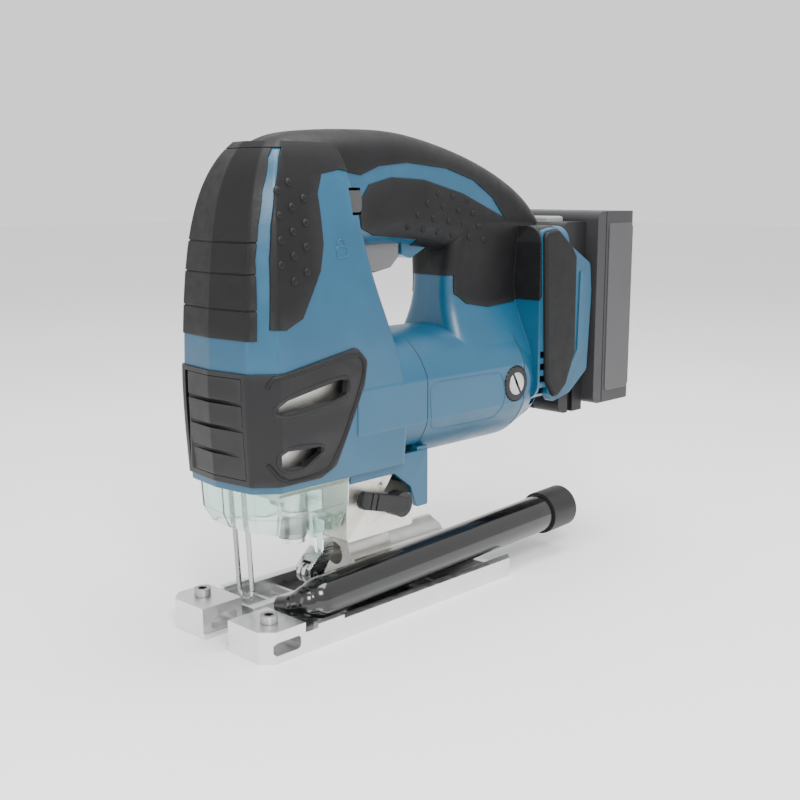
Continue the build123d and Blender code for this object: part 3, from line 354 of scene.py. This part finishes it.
def bead(name, tree, outline, side, radius, body, look, closed=True, sink=0.0, step=2.0):
    """A round bead laid along an outline on a surface."""
    line = spread_out(outline, step)
    if not closed:
        line = line[: -max(1, int(len(line) / len(outline)))]
    spots = []
    for x, z in line:
        hit, normal = from_side(tree, x, z, side)
        if hit is not None:
            spots.append(hit - normal * sink * MM)
    curve = bpy.data.curves.new(name, "CURVE")
    curve.dimensions = "3D"
    curve.bevel_depth = radius * MM
    curve.bevel_resolution = 3
    spline = curve.splines.new("POLY")
    spline.points.add(len(spots) - 1)
    for point, spot in zip(spline.points, spots):
        point.co = (*spot, 1)
    spline.use_cyclic_u = closed
    source = bpy.data.objects.new(name + "_line", curve)
    bpy.context.scene.collection.objects.link(source)
    mesh = bpy.data.meshes.new_from_object(source)
    bpy.data.objects.remove(source)
    mesh.materials.clear()
    return new_piece(name, mesh, body, look)


# ---------------------------------------------------------------- grip studs and beads
skin = surface_of(
    "grip_rubber_left", "grip_rubber_right", "casing_left", "casing_right", "front_bumper"
)
NOSE_STUDS = [
    (118.8, 218.9), (126.2, 215.4), (111.6, 211.8), (119.5, 207.9), (127.2, 204.3),
    (112.5, 200.8), (120.6, 197.1), (128.3, 193.5), (113.7, 190.0), (121.6, 186.2),
    (129.3, 182.5), (114.4, 178.8), (122.3, 175.1),
]
# Each row of studs on the handle: how many, then x and z of its front and back ones.
HANDLE_ROWS = [
    (3, (10.7, 213.5), (-12.9, 210.1)),
    (4, (19.0, 208.5), (-17.5, 203.0)),
    (5, (26.5, 202.5), (-22.0, 195.8)),
    (6, (32.9, 196.9), (-25.3, 188.5)),
]
HANDLE_STUDS = []
for count, (front_x, front_z), (back_x, back_z) in HANDLE_ROWS:
    for n in range(count):
        t = n / (count - 1)
        HANDLE_STUDS.append((front_x + (back_x - front_x) * t, front_z + (back_z - front_z) * t))
NOSE_STUD_SIZE = (0.0019, 0.0009)  # radius and height in metres
HANDLE_STUD_SIZE = (0.0017, 0.0008)
for side, word in SIDES:
    studs("nose_studs_" + word, skin, NOSE_STUDS, side, *NOSE_STUD_SIZE, "frame", "black_rubber")
    studs("handle_studs_" + word, skin, HANDLE_STUDS, side, *HANDLE_STUD_SIZE, "frame", "black_rubber")


def grown(points, by):
    """An outline moved outwards by a distance."""
    area = sum(x0 * z1 - x1 * z0 for (x0, z0), (x1, z1) in zip(points, points[1:] + points[:1]))
    turn = 1 if area > 0 else -1
    out = []
    for n, (x, z) in enumerate(points):
        before, after = points[n - 1], points[(n + 1) % len(points)]
        a = Vector((x - before[0], z - before[1])).normalized()
        b = Vector((after[0] - x, after[1] - z)).normalized()
        normal = Vector((a.y + b.y, -a.x - b.x)).normalized() * turn
        reach = by / max(0.5, normal.dot(Vector((a.y, -a.x)) * turn))
        out.append((x + normal.x * reach, z + normal.y * reach))
    return out


BUMPER = [
    (141, 134), (129, 134), (85, 141.5), (78, 134.5), (80, 123), (98.5, 86), (108, 81.5), (141, 81.5)
]
BUMPER_FRONT = 138  # the rim stops here, short of the front lever
WINDOWS = {
    "upper": [(134, 120.5), (96, 127.3), (91, 126.5), (92, 120), (99, 118), (134, 114.5)],
    "lower": [(132.5, 98), (108.5, 97), (108, 94.5), (118, 88.8), (132.5, 90)],
}
PLATE = [(33, 118), (-24, 117), (-27, 112), (-29, 104), (-27, 97), (-22, 91), (31, 92)]
SEAMS = ((34.5, 82, 141), (-45.5, 84, 138))  # x, then lowest and highest z
ONE_STEP = 50  # longer than any stretch of these lines, so that no point is added
bumper = surface_of("front_bumper", "blade_opener")

# The bumper's rim is an open line that starts and ends at the front lever.
rim_line = [p for p in spread_out(rounded_outline(grown(BUMPER, -1.6)), 1.5) if p[0] < BUMPER_FRONT]
gap = max(range(len(rim_line)), key=lambda n: (Vector(rim_line[n]) - Vector(rim_line[n - 1])).length)
rim_line = rim_line[gap:] + rim_line[:gap]
open_line = {"closed": False, "step": ONE_STEP}
for side, word in SIDES:
    bead("bumper_rim_" + word, bumper, rim_line, side, 1.1, "frame", "black_rubber", sink=0.2, **open_line)
    for which, outline in WINDOWS.items():
        rim = rounded_outline(grown(outline, 1.5))
        name = "window_rim_" + which + "_" + word
        bead(name, bumper, rim, side, 0.8, "frame", "black_plastic", sink=0.1, step=1.5)
    bead("plate_line_" + word, skin, rounded_outline(PLATE, 0.12), side, 0.3, "frame", "teal_plastic")
    for n, (x, low, high) in enumerate(SEAMS):
        seam = [(x, low + (high - low) * k / 24) for k in range(25)]
        bead("seam_%d_%s" % (n, word), skin, seam, side, 0.22, "frame", "black_plastic", **open_line)


def rounded_plate(name, side, low, high, radius, level, thick, body, look):
    """A thin plate with rounded corners, standing on a plane of constant Y."""
    (x0, z0), (x1, z1) = low, high
    left, right, bottom, top = x0 + radius, x1 - radius, z0 + radius, z1 - radius
    corners = [(right, top), (left, top), (left, bottom), (right, bottom)]
    ring = []
    for n, (cx, cz) in enumerate(corners):
        for k in range(9):
            a = radians(90 * n + 90 * k / 8)
            ring.append((cx + radius * cos(a), cz + radius * sin(a)))
    bm = bmesh.new()
    levels = [(0, 0), (thick * 0.6, 0), (thick, 0.35)]
    rows = []
    for height, inset in levels:
        mid = Vector(((x0 + x1) / 2, (z0 + z1) / 2))
        row = []
        for x, z in ring:
            shrink = 1 - inset / max(1.0, (Vector((x, z)) - mid).length)
            p = mid + (Vector((x, z)) - mid) * shrink
            row.append(bm.verts.new((p.x * MM, side * (level + height) * MM, p.y * MM)))
        rows.append(row)
    count = len(ring)
    for lower, upper in zip(rows, rows[1:]):
        for n in range(count):
            m = (n + 1) % count
            bm.faces.new((lower[n], lower[m], upper[m], upper[n]))
    bm.faces.new(rows[-1])
    bm.faces.new(reversed(rows[0]))
    bmesh.ops.recalc_face_normals(bm, faces=bm.faces)
    return new_piece(name, mesh_of(bm, name), body, look, smooth=False)


def slotted_disc(name, side, centre, radius, slot, turn, level, thick, body, look):
    """A thin disc with a screwdriver slot across it, standing on a plane of constant Y."""
    bm = bmesh.new()
    reach = asin(slot / radius)
    count = 25
    for half in (0, pi):
        angles = [turn + half + reach + (pi - 2 * reach) * k / (count - 1) for k in range(count)]
        rows = []
        for height, r in ((level, radius), (level + thick, radius - 0.3)):
            spots = [(centre[0] + r * cos(a), side * height, centre[1] + r * sin(a)) for a in angles]
            rows.append([bm.verts.new(Vector(spot) * MM) for spot in spots])
        for n in range(count):
            m = (n + 1) % count
            bm.faces.new((rows[0][n], rows[0][m], rows[1][m], rows[1][n]))
        bm.faces.new(rows[1])
        bm.faces.new(reversed(rows[0]))
    bmesh.ops.recalc_face_normals(bm, faces=bm.faces)
    return new_piece(name, mesh_of(bm, name), body, look, smooth=False)


PANEL_LOW, PANEL_HIGH = (-144.5, 95), (-119.5, 196)
PANEL_LEVEL, PANEL_THICK, PANEL_CORNER = 37.5, 0.5, 3.0
BRUSH_CAP = (-38, 109)
DISC_RADIUS, DISC_SLOT, DISC_TURN = 6.4, 0.9, radians(60)
DISC_LEVEL, DISC_THICK = 34.2, 0.25
for side, word in SIDES:
    rounded_plate(
        "battery_panel_" + word, side, PANEL_LOW, PANEL_HIGH, PANEL_CORNER, PANEL_LEVEL, PANEL_THICK,
        "battery", "panel_grey",
    )
    slotted_disc(
        "brush_disc_" + word, side, BRUSH_CAP, DISC_RADIUS, DISC_SLOT, DISC_TURN, DISC_LEVEL, DISC_THICK,
        "frame", "knurl_steel",
    )

# A plain padlock beside the lock button: a box and a bow over it.
mark_x, mark_z = 91.5, 187.0
BOX_CORNERS = ((-3.2, -2.6), (3.2, -2.6), (3.2, 2.4), (-3.2, 2.4))
box_line = rounded_outline([(mark_x + dx, mark_z + dz) for dx, dz in BOX_CORNERS], 0.15)
bow_angles = [pi * k / 12 for k in range(14)]
bow_line = [(mark_x + 2.2 * cos(a), mark_z + 3.4 + 2.4 * sin(a)) for a in bow_angles]
bead("lock_mark_box", skin, box_line, 1, 0.35, "frame", "teal_plastic", step=1.0)
bead("lock_mark_bow", skin, bow_line, 1, 0.35, "frame", "teal_plastic", **open_line)


# ---------------------------------------------------------------- floor and light
floor_mesh = bpy.data.meshes.new("floor")
FLOOR_HALF = 6
corners = [(x * FLOOR_HALF, y * FLOOR_HALF, 0) for x, y in ((-1, -1), (1, -1), (1, 1), (-1, 1))]
floor_mesh.from_pydata(corners, [], [(0, 1, 2, 3)])
floor = bpy.data.objects.new("floor", floor_mesh)
bpy.context.scene.collection.objects.link(floor)
floor_look = Shader("floor", (0.93, 0.93, 0.93), 0.55)
floor_look.tint(floor_look.noise(3.0, 2.0), 0.99, 1.01)
floor_mesh.materials.append(floor_look.done())

world = bpy.data.worlds.new("studio")
world.use_nodes = True
sky = world.node_tree.nodes["Background"]
sky.inputs["Color"].default_value = (1.0, 1.0, 1.0, 1)
sky.inputs["Strength"].default_value = 1.20
bpy.context.scene.world = world


def lamp(name, place, size, power, target=(0, 0, 0.11)):
    """A soft rectangular lamp turned towards the middle of the saw; metres and watts."""
    data = bpy.data.lights.new(name, "AREA")
    data.shape = "RECTANGLE"
    data.size, data.size_y = size
    data.energy = power
    obj = bpy.data.objects.new(name, data)
    bpy.context.scene.collection.objects.link(obj)
    obj.location = place
    obj.rotation_euler = (Vector(target) - Vector(place)).to_track_quat("-Z", "Y").to_euler()


lamp("key", (0.55, 0.75, 0.85), (0.35, 0.35), 11)
lamp("front", (1.1, 0.05, 0.45), (0.4, 0.7), 2)
lamp("top", (-0.1, 0.1, 1.2), (0.8, 0.8), 16)
